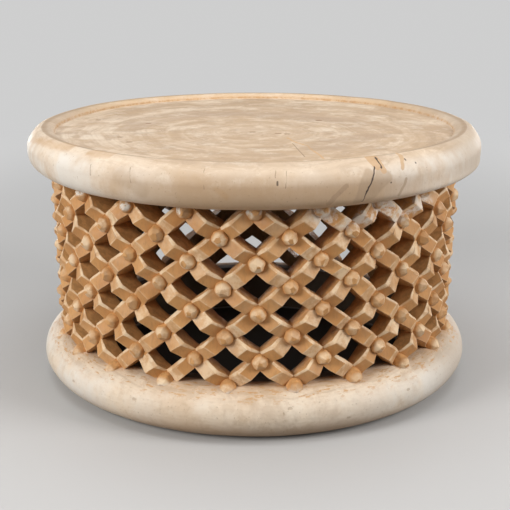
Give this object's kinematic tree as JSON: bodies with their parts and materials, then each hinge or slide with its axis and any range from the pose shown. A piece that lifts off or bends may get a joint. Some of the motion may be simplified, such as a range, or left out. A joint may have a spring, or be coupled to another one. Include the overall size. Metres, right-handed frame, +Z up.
{
  "type": "drum table",
  "caption": "Low round table with a dished top on an openwork drum of crossing diagonal ribs with pointed studs, standing on a rounded base ring.",
  "frame": {"origin": "centre of the base ring's underside, on the floor", "axes": "+Z up along the drum's axis; -Y towards the pictured side"},
  "size_m": [0.8, 0.8, 0.4495],
  "materials": {
    "bleached_wood": "smooth, limewashed, slightly polished",
    "honey_wood": "hand cut, oiled"
  },
  "bodies": {
    "root": {"base_ring": "bleached_wood", "tabletop": "bleached_wood", "right_rib_01": "honey_wood", "right_rib_02": "honey_wood", "right_rib_03": "honey_wood", "right_rib_04": "honey_wood", "right_rib_05": "honey_wood", "right_rib_06": "honey_wood", "right_rib_07": "honey_wood", "right_rib_08": "honey_wood", "right_rib_09": "honey_wood", "right_rib_10": "honey_wood", "right_rib_11": "honey_wood", "right_rib_12": "honey_wood", "right_rib_13": "honey_wood", "right_rib_14": "honey_wood", "right_rib_15": "honey_wood", "right_rib_16": "honey_wood", "right_rib_17": "honey_wood", "right_rib_18": "honey_wood", "right_rib_19": "honey_wood", "right_rib_20": "honey_wood", "right_rib_21": "honey_wood", "left_rib_01": "honey_wood", "left_rib_02": "honey_wood", "left_rib_03": "honey_wood", "left_rib_04": "honey_wood", "left_rib_05": "honey_wood", "left_rib_06": "honey_wood", "left_rib_07": "honey_wood", "left_rib_08": "honey_wood", "left_rib_09": "honey_wood", "left_rib_10": "honey_wood", "left_rib_11": "honey_wood", "left_rib_12": "honey_wood", "left_rib_13": "honey_wood", "left_rib_14": "honey_wood", "left_rib_15": "honey_wood", "left_rib_16": "honey_wood", "left_rib_17": "honey_wood", "left_rib_18": "honey_wood", "left_rib_19": "honey_wood", "left_rib_20": "honey_wood", "left_rib_21": "honey_wood", "stud_row_1": "honey_wood", "stud_row_2": "honey_wood", "stud_row_3": "honey_wood", "stud_row_4": "honey_wood", "stud_row_5": "honey_wood", "stud_row_6": "honey_wood", "stud_row_7": "honey_wood", "stud_row_8": "honey_wood"}
  },
  "joints": []
}
